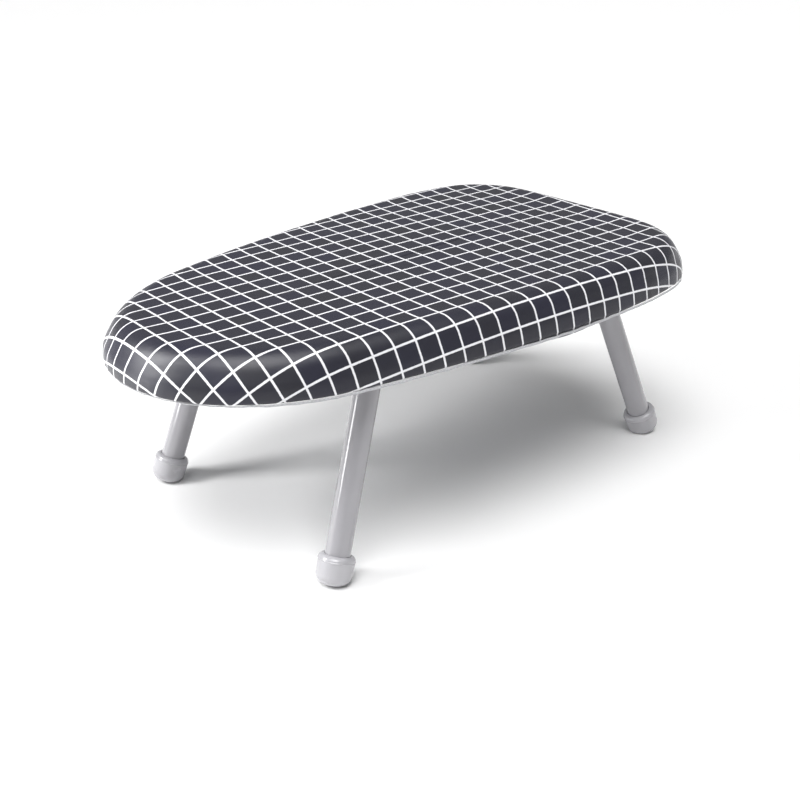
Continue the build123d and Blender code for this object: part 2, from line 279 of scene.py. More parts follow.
# %% Gathers
GATHER_PITCH = 11 * MM
END_BLEND = 20 * MM             # how gently the straight sides go over into the ends
SLACK_BLEND = 12 * MM
GATHER_DEPTH = 1.5 * MM
STRAIGHT_GATHERS = 0.35         # share of that depth where the outline is straight
GATHER_REACH = 14 * MM          # the gathers fade out this high on the side
GATHER_SWING = 0.25             # share of its depth that a gather also moves sideways
GATHER_LIFT = 0.6               # the gathers rise by this much more than they hang
HEM_GROWTH = 1.3                # how late they grow, from the lower edge to the hem's inner edge
RIPPLE_PITCHES = np.array([0.62, 0.81, 1.0, 1.13, 1.34])
RIPPLE_HEIGHTS = np.array([0.5, 0.7, 1.0, 0.7, 0.45])
RIPPLE_GAIN = 1.7
END_SWELL = 2.0 * MM            # the rounder side at the nose and the tail
END_SWELL_TOP = 26 * MM         # where it goes over into a softer shoulder
END_SOFTEN = 0.9 * MM
CROWN_SLACK = 3.0 * MM          # cloth that the soft shoulder takes up
NOSE_SLACK = 3.4 * MM           # and how much more at the nose
SLACK_START, SLACK_END = -12 * MM, 28 * MM   # where that starts and ends, from the crown out
DRAG = 4.4 * MM                 # the hem is pulled this far towards the tail
EARLIER, LATER = 20 * MM, 16 * MM   # at the nose it starts and ends sooner and later
DRAG_START, DRAG_END = 4 * MM, 44 * MM
NO_DRAG = 0.6                   # how far the side faces the nose where the drag is gone
NEAR_END, FAR_START, SIDE_BLEND = 0.45, 0.55, 0.3   # where the slack changes sides

around = np.arange(AROUND) * step
bend_share = bend / bend.max()
end_share = smooth_loop(np.clip(np.abs(outward[:, 0]) * 1.6 - 0.4, 0, 1), END_BLEND / step)

# Where the turned-in hem hangs slack: x, side and half length of a smooth bump, in metres
SLACK_PLACES = ((0.062, -1, 0.05), (-0.06, 1, 0.05), (0.13, 1, 0.035))


def slack_wave():
    """A sum of bell curves along the straight sides, one for each slack place."""
    total = np.zeros(AROUND)
    for x, side, reach in SLACK_PLACES:
        total += np.exp(-(((outline[:, 0] - x) / reach) ** 2)) * (np.sign(outline[:, 1]) == side)
    return smooth_loop(total, SLACK_BLEND / step)


slack = slack_wave()


def ripple(places, pitch, seed):
    """An uneven closed wave: the sum of five sines whose pitches lie round the given one."""
    draw = np.random.default_rng(seed)
    counts = np.round(perimeter / pitch * RIPPLE_PITCHES)
    phases = draw.uniform(0, 2 * np.pi, len(counts))
    turns = counts[:, None] * places / perimeter
    waves = RIPPLE_HEIGHTS[:, None] * np.sin(2 * np.pi * turns + phases[:, None])
    return waves.sum(0) / RIPPLE_HEIGHTS.sum() * RIPPLE_GAIN


gather = ripple(around, GATHER_PITCH, 3)
gather_depth = GATHER_DEPTH * (STRAIGHT_GATHERS + (1 - STRAIGHT_GATHERS) * bend_share)
print("gathers:", int(perimeter / GATHER_PITCH), "round the board")

# %% The cover's surface
TOP_ROWS = 26
HEM_SAG = 5.5 * MM
SAG_PLACE = 0.38                # below 1, the hem sags nearer to the lower edge
PADDING_DIP = 0.36 * MM         # the cloth settles this far into the padding
HEM_TOP = 1 * MM                # rows lower than this belong to the hem
NOSE_MIDDLE, TAIL_MIDDLE = 150 * MM, 120 * MM   # the middle line stops this far from the ends
JOIN = 0.02 * MM                # points closer than this are one point


def soft_unevenness(points):
    """Small lifts and dips of padding under cloth: two products of long sine waves."""
    x, y = points[..., 0], points[..., 1]
    lift = 0.22 * np.sin(x / 0.047 + 1.3 * np.sin(y / 0.06)) * np.sin(y / 0.041 + 0.7)
    lift += 0.14 * np.sin((x + y) / 0.023 + 0.5) * np.sin((x - 0.6 * y) / 0.031)
    return lift * MM


def ease(value, start, end):
    """0 before start, 1 after end, and 3 t^2 - 2 t^3 between them."""
    t = np.clip((value - start) / (end - start), 0, 1)
    return t * t * (3 - 2 * t)


def top_surface(inside, rows_of_edge, hem_ripple):
    """Points of a layer of the padded top and their flat places, from its lower edge inwards.

    A point is the outline moved in by the profile's inset, at the profile's height. Past the
    crown the rows go to the board's middle line in even steps. The inside moves the layer in
    from the cover's outer face, along the profile's own perpendicular.
    """
    turn = np.gradient(profile, axis=0)
    turn /= np.linalg.norm(turn, axis=1, keepdims=True)
    shape = profile + inside * np.stack([turn[:, 1], -turn[:, 0]], -1)
    shape, places = shape[rows_of_edge], profile_length[rows_of_edge]
    rise = profile[rows_of_edge, 1:]
    low = np.clip(1 - rise / GATHER_REACH, 0, 1) ** 2
    swell = END_SWELL * np.sin(np.pi * np.clip(rise / END_SWELL_TOP, 0, 1))
    soften = END_SOFTEN * np.sin(np.pi * np.clip(rise / END_SWELL_TOP - 1, 0, 1))
    hem = np.clip(profile[:, 0] / HEM_WIDTH, 0, 1) * (profile[:, 1] < HEM_TOP)
    hem = hem[rows_of_edge, None]
    inset = shape[:, :1] + (soften - swell) * end_share
    inset = inset - hem_ripple * GATHER_SWING * gather_depth * gather * low * (1 - hem)
    gathered = gather_depth * (gather + GATHER_LIFT) * hem**HEM_GROWTH
    sag = HEM_SAG * slack * np.clip(np.sin(np.pi * hem**SAG_PLACE), 0, 1)
    height = lower_edge + shape[:, 1:] + hem_ripple * (gathered - sag)
    plan = outline - outward * inset[..., None]
    edge = np.concatenate([plan, height[..., None]], -1)
    crown = outline - outward * crown_inset
    reach = (profile_length[-1] - places)[:, None]
    edge_flat = crown + outward * reach[..., None]
    middle_x = np.clip(crown[:, 0], cover_low[0] + NOSE_MIDDLE, cover_high[0] - TAIL_MIDDLE)
    middle = np.stack([middle_x, np.zeros(AROUND)], -1)
    t = np.linspace(0, 1, TOP_ROWS + 1)[1:, None, None]
    top_flat = crown * (1 - t) + middle * t
    out = np.concatenate([reach + 0 * around, -t[..., 0] * np.linalg.norm(crown - middle, axis=1)])
    flat = np.concatenate([edge_flat, top_flat])
    noseward = np.clip(-outward[:, 0], 0, 1)
    near = np.clip((NEAR_END - outward[:, 1]) / SIDE_BLEND, 0, 1)
    near -= np.clip((outward[:, 1] - FAR_START) / SIDE_BLEND, 0, 1)
    taken_up = ease(out, SLACK_START - EARLIER * noseward, SLACK_END + LATER * noseward)
    flat[..., 1] -= (CROWN_SLACK + NOSE_SLACK * noseward) * taken_up * near
    flat[..., 0] -= DRAG * ease(out, DRAG_START, DRAG_END) * (1 - np.clip(noseward / NO_DRAG, 0, 1))
    level = np.full((*top_flat.shape[:2], 1), board_top - inside)
    points = np.concatenate([edge, np.concatenate([top_flat, level], -1)])
    high = np.clip((points[..., 2] - lower_edge) / (board_top - lower_edge), 0, 1)
    points[..., 2] += (soft_unevenness(points) - PADDING_DIP) * high
    return points, flat


all_rows = np.arange(EDGE_ROWS)
cover_grid, cover_flat = top_surface(0.0, all_rows, 1.0)
print("cover grid:", cover_grid.shape[:2])

# %% [markdown]
# ## From a grid to a closed top
#
# The last row of the grid lies on the board's middle line twice, once from each side, so the
# top is closed by joining the points that meet there. After that the sheet has one open edge,
# the hem's, and Solidify gives it the cloth's thickness towards the inside.

# %% Close the top and thicken it
import bmesh

CLOTH_TURN = math.radians(-4.25)   # the check runs off the board's line by this much
CHECK_PITCH = 21.05 * MM
CHECK_AT = (-140.4 * MM, -39.2 * MM)   # a place where two lines cross


def flat_uv(flat):
    """Flat places as squares of the check, turned so that the lines run along the axes."""
    x, y = np.moveaxis(flat - np.array(CHECK_AT), -1, 0)
    c, s = math.cos(-CLOTH_TURN), math.sin(-CLOTH_TURN)
    return np.stack([x * c - y * s, x * s + y * c], -1) / CHECK_PITCH


def join_doubles(piece, distance):
    """Merges points closer than the distance, and makes the faces agree on their outside."""
    shape = bmesh.new()
    shape.from_mesh(piece.data)
    bmesh.ops.remove_doubles(shape, verts=shape.verts, dist=distance)
    bmesh.ops.dissolve_degenerate(shape, dist=distance, edges=shape.edges)
    bmesh.ops.recalc_face_normals(shape, faces=shape.faces)
    shape.to_mesh(piece.data)
    shape.free()
    piece.data.polygons.foreach_set("use_smooth", np.ones(len(piece.data.polygons), bool))


def face_up(piece):
    """Turns the faces over if the ones on the top look down."""
    normals = np.array([p.normal.z * p.area for p in piece.data.polygons])
    heights = np.array([p.center.z for p in piece.data.polygons])
    if normals[heights > heights.max() - 3 * MM].sum() < 0:
        piece.data.flip_normals()


def thicken(piece, thickness):
    """Gives a sheet its thickness, on the side away from its faces."""
    solid = piece.modifiers.new("thickness", "SOLIDIFY")
    solid.thickness = thickness
    solid.offset = -1
    solid.use_even_offset = True


cover = grid_piece("cover_cloth_sheet", cover_grid, uv=flat_uv(cover_flat))
join_doubles(cover, JOIN)
face_up(cover)
thicken(cover, CLOTH)

# %% [markdown]
# ## Felt and foam
#
# Under the cover lie a felt that wraps over the edge and a slab of foam on the tray. They show
# only through the vent holes, but they are there, and they follow the same section as the
# cover, each a little further in. The foam is a closed form: its underside copies its top.

# %% Felt layer and foam pad
FELT = 2.0 * MM
FELT_END = 3.2 * MM             # the felt stops this far above the cover's lower edge
LAYER_GAP = 0.05 * MM
FOAM_START = 0.8 * MM           # height over the tray of the foam's lowest full row
FELT_SQUARE = 10 * MM

upright = all_rows[(profile[:, 1] > FELT_END) | (all_rows > EDGE_ROWS // 2)]
felt_grid, felt_flat = top_surface(CLOTH + LAYER_GAP, upright, 0.0)
felt = grid_piece("felt_sheet", felt_grid, uv=felt_flat / FELT_SQUARE)
join_doubles(felt, JOIN)
face_up(felt)
thicken(felt, FELT - 2 * LAYER_GAP)

foam_low, foam_high = (np.array(corner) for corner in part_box("foam_pad"))


def foam_surface():
    """The section of the cover, moved in by cloth and felt and cut level with the tray, closed.

    The underside is the lowest row drawn in to the middle line, in rows that match the top's.
    """
    inside = CLOTH + FELT + LAYER_GAP
    rows = all_rows[profile[:, 1] > foam_low[2] + FOAM_START - lower_edge]
    top = top_surface(inside, rows, 0.0)[0]
    floor_level = foam_low[2] + LAYER_GAP
    rim, middle = top[0].copy(), top[-1].copy()
    rim[:, 2], middle[:, 2] = floor_level, floor_level
    t = np.linspace(1, 0, TOP_ROWS + 1)[:, None, None]
    return np.concatenate([rim * (1 - t) + middle * t, top])


foam = grid_piece("foam_slab", foam_surface())
join_doubles(foam, JOIN)

# %% [markdown]
# ## Binding tape and stitches
#
# A narrow tape binds the cover's lower edge and shows as a pale line under the check. It is a
# thin strip carried along the outline. Between the gathers it hangs a little slack, so it
# drops and swings out where the board is straight. It is sewn on with one row of stitches,
# each a small bead with tapered ends that follows the strip.

# %% Hem tape
TAPE_HEIGHT = 2.4 * MM
TAPE_THICKNESS = 0.7 * MM
TAPE_DROP = 1.9 * MM            # the tape's lower edge below the cover's
TAPE_SAG = 0.8 * MM
TAPE_INSET = 0.8 * MM
END_LIFT = 1.1 * MM             # the ends pull the tape up and in under the cloth
END_INSET = 1.4 * MM
END_FLATTEN = 0.65              # and hide this share of its height
TAPE_SWING = 0.6 * MM           # how far it swings out where it hangs slack
WAVER, WAVER_PITCH = 0.25 * MM, 23 * MM
TAPE_SIDES = 16
BAND_JOIN = 0.001 * MM

tape_lift = smooth_loop(np.clip(np.abs(outward[:, 0]) * 2.6 - 1.1, 0, 1), 14 * MM / step)


def tape_line(height, out):
    """The tape's line at a height over its lower edge, moved out from the cover's lower edge."""
    waver = ripple(around, WAVER_PITCH, 11) * WAVER
    inset = TAPE_INSET + END_INSET * tape_lift - GATHER_SWING * gather_depth * gather
    height = height * (1 - END_FLATTEN * tape_lift)
    plan = outline - outward * (inset - out - TAPE_SWING * slack)[:, None]
    z = lower_edge - TAPE_DROP + height - TAPE_SAG * slack + waver + END_LIFT * tape_lift
    return np.concatenate([plan, z[:, None]], -1)


def rounded_box(sides, cosine_power, sine_power):
    """A closed section inside -1 to 1: cos and sin, each raised to a power that keeps its sign."""
    t = np.linspace(0, 2 * np.pi, sides, endpoint=False)
    cosine, sine = np.cos(t), np.sin(t)
    across = np.sign(cosine) * np.abs(cosine) ** cosine_power
    return across, np.sign(sine) * np.abs(sine) ** sine_power


def band_piece(name, lines):
    """A closed band from lines round the board. U is the length in metres, V goes round it."""
    sides = len(lines)
    turn = np.linspace(0, 1, sides, endpoint=False)[:, None] * np.ones(AROUND)
    uv = np.stack([np.ones(sides)[:, None] * around, turn], -1)
    piece = grid_piece(name, np.stack(lines), wrap_rows=True, uv=uv)
    join_doubles(piece, BAND_JOIN)
    return piece


def tape_lines():
    """The section, a long rounded box, as one line along the tape for each of its corners."""
    across, upward = rounded_box(TAPE_SIDES, 0.6, 0.35)
    across, upward = TAPE_THICKNESS / 2 * across, TAPE_HEIGHT / 2 * (1 + upward)
    return [tape_line(h, o) for h, o in zip(upward, across)]


tape = band_piece("hem_tape", tape_lines())
print("tape:", len(tape.data.polygons), "faces")

# %% Stitches
STITCH_PITCH = 3.4 * MM
STITCH_LENGTH = 2.5 * MM
STITCH_RADIUS = 0.24 * MM
STITCH_HEIGHT = 0.62            # share of the tape's height
THREAD_SIDES = 6
THREAD_JOIN = 0.0001 * MM


def at_place(line, places):
    """Points of a closed line at lengths along the outline."""
    u = np.append(around, perimeter)
    closed = np.vstack([line, line[:1]])
    return np.stack([np.interp(places % perimeter, u, closed[:, k]) for k in range(3)], -1)


def beads(line, side_way, pitch, length, radius):
    """Many small spindles along a line, as one array of points and one of faces.

    A spindle's radius at t from -1 to 1 is radius * sqrt(1 - t^2), and it dips at both ends.
    """
    count = int(perimeter / pitch)
    starts = np.arange(count) * perimeter / count
    t = np.array([-1, -0.75, -0.3, 0.3, 0.75, 1])
    centres = at_place(line, (starts[:, None] + t * length / 2).ravel()).reshape(count, len(t), 3)
    ways = at_place(side_way, starts)
    ways /= np.linalg.norm(ways, axis=1, keepdims=True)
    forward = centres[:, -1] - centres[:, 0]
    forward /= np.linalg.norm(forward, axis=1, keepdims=True)
    over = np.cross(forward, ways)
    centres = centres - ways[:, None] * (radius * 0.9 * t**2)[None, :, None]
    swell = radius * np.sqrt(np.clip(1 - t**2, 0.02, 1))
    angle = np.arange(THREAD_SIDES) / THREAD_SIDES * 2 * np.pi
    ring_way = np.cos(angle)[:, None, None] * ways + np.sin(angle)[:, None, None] * over
    points = centres[:, :, None] + swell[None, :, None, None] * ring_way.transpose(1, 0, 2)[:, None]
    rows = len(t)
    quads = grid_faces(rows, THREAD_SIDES, False, True)
    end_faces = np.array([[0, 1, 2, 3], [0, 3, 4, 5]])
    ends = np.vstack([end_faces[:, ::-1], end_faces + (rows - 1) * THREAD_SIDES])
    one = np.vstack([quads, ends])
    faces = one[None] + (np.arange(count) * rows * THREAD_SIDES)[:, None, None]
    return points.reshape(-1, 3), faces.reshape(-1, 4)


stitch_line = tape_line(TAPE_HEIGHT * STITCH_HEIGHT, TAPE_THICKNESS / 2)
outward_3d = np.concatenate([outward, np.zeros((AROUND, 1))], -1)
stitch_mesh = beads(stitch_line, outward_3d, STITCH_PITCH, STITCH_LENGTH, STITCH_RADIUS)
stitches = link("tape_stitches", mesh_from("tape_stitches", *stitch_mesh))
join_doubles(stitches, THREAD_JOIN)
print("stitches:", int(perimeter / STITCH_PITCH))

# %% [markdown]
# ## Gathered elastic
#
# A knitted elastic is sewn to the turned-in edge and pulls it under the board. It is a flat
# band that waves with the gathers. Two rows of thread run along it.

# %% Elastic band
ELASTIC_WIDTH = 7 * MM
ELASTIC_THICKNESS = 0.8 * MM
ELASTIC_MARGIN = 1 * MM         # hem's inner edge to the elastic
ELASTIC_SIDES = 18
THREAD_PITCH, THREAD_LENGTH = 3.0 * MM, 2.2 * MM
THREAD_ROWS = (2.4 * MM, 6.6 * MM)   # from the hem's inner edge


def elastic_line(inset, drop):
    """A line on the hem, at an inset from the outline and a drop under the hem's cloth."""
    fade = np.clip(inset / HEM_WIDTH, 0, 1) ** HEM_GROWTH
    plan = outline - outward * inset
    z = lower_edge - LAYER_GAP - drop + gather_depth * (gather + GATHER_LIFT) * fade
    return np.concatenate([plan, z[:, None]], -1)


def elastic_lines():
    """A flat rounded section under the hem's inner edge, as lines carried along the outline."""
    across, drop = rounded_box(ELASTIC_SIDES, 0.3, 0.5)
    across, drop = ELASTIC_WIDTH / 2 * across, ELASTIC_THICKNESS / 2 * (1 - drop)
    middle = HEM_WIDTH - ELASTIC_WIDTH / 2 - ELASTIC_MARGIN
    return [elastic_line(middle + a, d) for a, d in zip(across, drop)]


elastic = band_piece("gathered_elastic", elastic_lines())

down_3d = np.tile([[0.0, 0.0, -1.0]], (AROUND, 1))
thread_parts = [
    beads(
        elastic_line(HEM_WIDTH - inset, ELASTIC_THICKNESS), down_3d,
        THREAD_PITCH, THREAD_LENGTH, STITCH_RADIUS,
    )
    for inset in THREAD_ROWS
]
thread_points = np.vstack([part[0] for part in thread_parts])
thread_faces = np.vstack([thread_parts[0][1], thread_parts[1][1] + len(thread_parts[0][0])])
threads = link("elastic_threads", mesh_from("elastic_threads", thread_points, thread_faces))
join_doubles(threads, THREAD_JOIN)
print("rows of elastic thread:", len(thread_parts))

# %% [markdown]
# ## Foot caps
#
# Each leg ends in a soft plastic cap like a small cup: a lip round the tube, a rim that catches
# the light, a belly that swells a little, and a broad rounding down to the flat sole. Turning a
# profile round the leg's own line gives all of that at once. The leg leans two ways, so the
# line is measured on the tube: the faces of a straight tube all look away from its line, and
# the one direction that none of them looks in is the line itself.

# %% Foot caps
CAP_HEIGHT = 27 * MM            # along the leg, above the floor
CAP_RADIUS = 16.4 * MM
CAP_SEAT = 6.9 * MM             # plastic under the tube's end
TUBE_RADIUS = 11.3 * MM
RIM_ROUND = 4.0 * MM
RIDGE = 0.28 * MM               # a fine moulded ridge where the rim starts
SOLE_ROUND = 10.5 * MM
BELLY_SWELL = 0.35 * MM
LEG_PART = 120 * MM             # a leg is straight below this height
CROWN_RISE = 0.5 * MM           # the cap's top rises this much from its rim to the tube
LATHE_SIDES = 72


def leg_line(frame_name, side):
    """Where a leg's centreline meets the floor, and its direction upwards.

    The direction is the eigenvector with the smallest eigenvalue of the sum of area times
    normal times normal, over the faces of the straight part of the leg.
    """
    mesh = nodes[frame_name].data
    normals = np.array([f.normal for f in mesh.polygons])
    centres = np.array([f.center for f in mesh.polygons])
    areas = np.array([f.area for f in mesh.polygons])
    mine = (centres[:, 1] * side > 0) & (centres[:, 2] < LEG_PART)
    weight = normals[mine] * areas[mine, None]
    vectors = np.linalg.eigh(weight.T @ normals[mine])[1]
    up = vectors[:, 0] * np.sign(vectors[2, 0])
    points = np.unique(node_points(frame_name).round(6), axis=0)
    points = points[points[:, 1] * side > 0]
    height = points @ up
    end = points[height < height.min() + 0.05 * MM].mean(0)
    return end - up * end[2] / up[2], up


def cap_profile():
    """The cap's section as (radius, height) rows: sole, belly, ridge, rim, lip and bore."""
    t = np.linspace(0, np.pi / 2, 14)
    sole_r = CAP_RADIUS - BELLY_SWELL - SOLE_ROUND
    sole = np.stack([sole_r + SOLE_ROUND * np.sin(t), SOLE_ROUND * 0.9 * (1 - np.cos(t))], -1)
    shoulder_top = CAP_HEIGHT - CROWN_RISE
    h = np.linspace(sole[-1, 1], shoulder_top - RIM_ROUND, 9)[1:]
    swell = BELLY_SWELL * np.sin(np.pi / 2 * (h - h[0]) / (h[-1] - h[0]))
    belly = np.stack([CAP_RADIUS - BELLY_SWELL + swell, h], -1)
    t = np.linspace(0, np.pi / 2, 12)[1:]
    ridge_t = np.linspace(0, np.pi, 7)
    ridge = np.stack([
        belly[-1, 0] + RIDGE * np.sin(ridge_t),
        belly[-1, 1] - RIDGE * 1.6 * np.cos(ridge_t) - 0.5 * MM,
    ], -1)
    belly = belly[belly[:, 1] < ridge[0, 1] - 0.2 * MM]
    rim_middle = CAP_RADIUS - RIM_ROUND
    rim = np.stack([
        rim_middle + RIM_ROUND * np.cos(t), shoulder_top - RIM_ROUND * (1 - np.sin(t))
    ], -1)
    bore_r = TUBE_RADIUS + 0.1 * MM
    dish = np.array([
        [bore_r + 0.6 * MM, CAP_HEIGHT - 0.1 * MM], [bore_r + 0.15 * MM, CAP_HEIGHT - 0.3 * MM],
    ])
    bore = np.array([
        [bore_r, CAP_HEIGHT - 2 * MM], [bore_r, CAP_SEAT + 1 * MM], [bore_r - 0.4 * MM, CAP_SEAT],
        [0, CAP_SEAT],
    ])
    return np.vstack([[[0, 0]], [[sole_r * 0.5, 0]], sole, belly, ridge, rim, dish, bore])


def turned(profile_rows, foot, up):
    """A profile turned round a line: foot + height * up + radius * (cos a * side + sin a * other).

    What would come to lie under the floor is slid up along the line.
    """
    side = np.cross(up, [1.0, 0.0, 0.0])
    side /= np.linalg.norm(side)
    other = np.cross(up, side)
    angle = np.arange(LATHE_SIDES) / LATHE_SIDES * 2 * np.pi
    spoke = np.cos(angle)[:, None] * side + np.sin(angle)[:, None] * other
    points = foot + profile_rows[:, 1:, None] * up + profile_rows[:, :1, None] * spoke
    below = np.minimum(points[..., 2:], 0)
    return points - below * up / up[2]


caps = {}
for end in ("nose", "tail"):
    for side, word in ((1, "left"), (-1, "right")):
        foot, up = leg_line(f"{end}_leg_frame", side)
        name = f"{end}_{word}_foot_cap"
        caps[name] = grid_piece(name, turned(cap_profile(), foot, up))
        join_doubles(caps[name], 0.005 * MM)
        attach(caps[name], f"{end}_frame")
        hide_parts(f"{end}_foot_{word}")
        print(name, "stands at", (foot * 1000).round(1), "and leans", (up * 100).round(1))

# %% [markdown]
# ## Welds
#
# The stop cams are welded to the crossbars, and the ribs and the spine are spot-welded to the
# tray. A weld bead is a run of overlapping ripples along an arc, so it is a half-round section
# carried round the tube whose size beats with the ripples. A spot weld is a shallow round
# dimple with a raised rim, small enough for a disc of a few rings.

# %% Weld beads on the cams
BEAD_RADIUS = 1.5 * MM
BEAD_STEPS = 170
BEAD_SIDES = 10
RIPPLES = 30
RIPPLE_SHARE = 0.16             # share of the bead's radius that the ripples take
WANDER, WANDER_STEPS = 0.09, 12


def weld_bead(pivot, face_y, side, first, last, seed):
    """A bead along an arc round the pivot line, as (steps, sides, 3) points.

    The section's radius is the bead's radius * (0.84 + wander + 0.16 * |sin of the ripples|),
    and it shrinks to almost nothing at both ends like the square root of the distance.
    """
    draw = np.random.default_rng(seed)
    t = np.linspace(0, 1, BEAD_STEPS)
    knots = draw.normal(0, WANDER, WANDER_STEPS)
    wander = np.interp(t, np.linspace(0, 1, WANDER_STEPS), knots)
    ripples = RIPPLE_SHARE * np.abs(np.sin(np.pi * RIPPLES * t))
    size = BEAD_RADIUS * (1 - RIPPLE_SHARE + wander + ripples)
    size *= np.sqrt(np.clip(np.minimum(t, 1 - t) * 30, 0.0004, 1))
    arc = np.radians(first + (last - first) * t)
    radial = np.stack([np.cos(arc), 0 * arc, np.sin(arc)], -1)
    sideways = np.array([0.0, side, 0.0])
    centre = pivot + radial * (TUBE_RADIUS + 0.1 * MM) + [0, face_y, 0]
    angle = np.arange(BEAD_SIDES) / BEAD_SIDES * 2 * np.pi
    ring = np.cos(angle)[None, :, None] * radial[:, None] + np.sin(angle)[None, :, None] * sideways
    return centre[:, None] + size[:, None, None] * ring


joint_place = {joint["name"]: np.array(joint["pos_m"]) for joint in frame["joints"]}
beads_made = {}
for end, first, last in (("nose", 102, 328), ("tail", 78, -136)):
    cam_low, cam_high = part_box(f"{end}_stop_cam")
    pivot = joint_place[f"{end}_fold"]
    for number, (face_y, side) in enumerate(((cam_high[1], 1), (cam_low[1], -1)), start=1):
        name = f"{end}_cam_weld_{number}"
        bead = weld_bead(pivot * [1, 0, 1], face_y, side, first, last, 20 + number)
        beads_made[name] = grid_piece(name, bead)
        join_doubles(beads_made[name], 0.01 * MM)
        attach(beads_made[name], f"{end}_frame")
print("weld beads:", len(beads_made))

# %% Spot welds under the deck
SPOT_RADIUS = 2.7 * MM
SPOT_PITCH = 27 * MM
FLANGE_MIDDLE = 4.5 * MM
FLANGE_SHEET = 1.0 * MM
SPOT_END = 9 * MM               # last spot weld to the end of its flange
SPOT_SIDES = 16


def spot_places():
    """The middles of the spot welds: rows along both flanges of each rib and of the spine."""
    rows = []
    for name, lengthwise in (("nose_rib", 1), ("tail_rib", 1), ("deck_spine", 0)):
        low, high = (np.array(corner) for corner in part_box(name))
        half = (high - low)[lengthwise] / 2 - SPOT_END
        count = int(2 * half / SPOT_PITCH)
        run = np.linspace(-half, half, count + 1) + (high + low)[lengthwise] / 2
        for edge in (low[1 - lengthwise] + FLANGE_MIDDLE, high[1 - lengthwise] - FLANGE_MIDDLE):
            places = np.zeros((len(run), 3))
            places[:, lengthwise] = run
            places[:, 1 - lengthwise] = edge
            places[:, 2] = high[2] - FLANGE_SHEET
            rows.append(places)
    return np.vstack(rows)


def spot_surface(places):
    """Low buttons under the flange: rings whose depth is a rim that stands and a dished middle."""
    r = np.array([0.0, 0.35, 0.62, 0.8, 0.92, 1.0]) * SPOT_RADIUS
    depth = np.array([0.12, 0.13, 0.2, 0.3, 0.22, -0.02]) * MM
    angle = np.arange(SPOT_SIDES) / SPOT_SIDES * 2 * np.pi
    plate = np.stack([
        r[:, None] * np.cos(angle), r[:, None] * np.sin(angle), -depth[:, None] + 0 * angle
    ], -1)
    one = grid_faces(len(r), SPOT_SIDES, False, True)
    points = places[:, None, None] + plate
    faces = one[None] + (np.arange(len(places)) * len(r) * SPOT_SIDES)[:, None, None]
    return points.reshape(-1, 3), faces.reshape(-1, 4)


spots = link("deck_spot_welds", mesh_from("deck_spot_welds", *spot_surface(spot_places())))
join_doubles(spots, 0.002 * MM)
print("spot welds:", len(spot_places()))

# %% [markdown]
# ## Where each piece belongs
#
# The cover, its tape and its elastic ride on the board, and each takes the place of the plain
# shape that stood for it. The cover is one sheet, cut flat as one piece that reaches past the
# outline by the edge's depth and the hem, then stretched over the felt.

# %% Ride and replace
for piece, plain, slot_name in (
    (cover, "check_cover", "cover_cloth"),
    (felt, "felt_layer", "felt"),
    (foam, "foam_pad", "foam"),
    (tape, "hem_binding", "binding_tape"),
    (elastic, "elastic_band", "elastic_webbing"),
    (stitches, None, "binding_tape"),
    (threads, None, "elastic_webbing"),
    (spots, None, "tray_paint"),
):
    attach(piece, "board")
    if plain:
        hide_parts(plain)

# %% [markdown]
# ## Finishes
#
# Every finish is worked out by nodes, with no pictures. Writing node trees by hand is slow to
# read, so two small classes help: `Term` lets a socket be used in a sum like a number, and
# `Finish` makes a material and adds one node at a time to it.

# %% Shader helpers
class Term:
    """A socket that can be added, multiplied and so on. Each sign adds one Math node."""

    def __init__(self, finish, socket):
        self.finish, self.socket = finish, socket

    def maths(self, operation, *others):
        """A Math node with this socket as its first input."""
        values = dict(enumerate((self, *others)))
        return self.finish.node("ShaderNodeMath", {"operation": operation}, values)

    def __add__(self, other):
        return self.maths("ADD", other)

    def __sub__(self, other):
        return self.maths("SUBTRACT", other)

    def __mul__(self, other):
        return self.maths("MULTIPLY", other)

    def __rsub__(self, other):
        return self.finish.node("ShaderNodeMath", {"operation": "SUBTRACT"}, {0: other, 1: self})


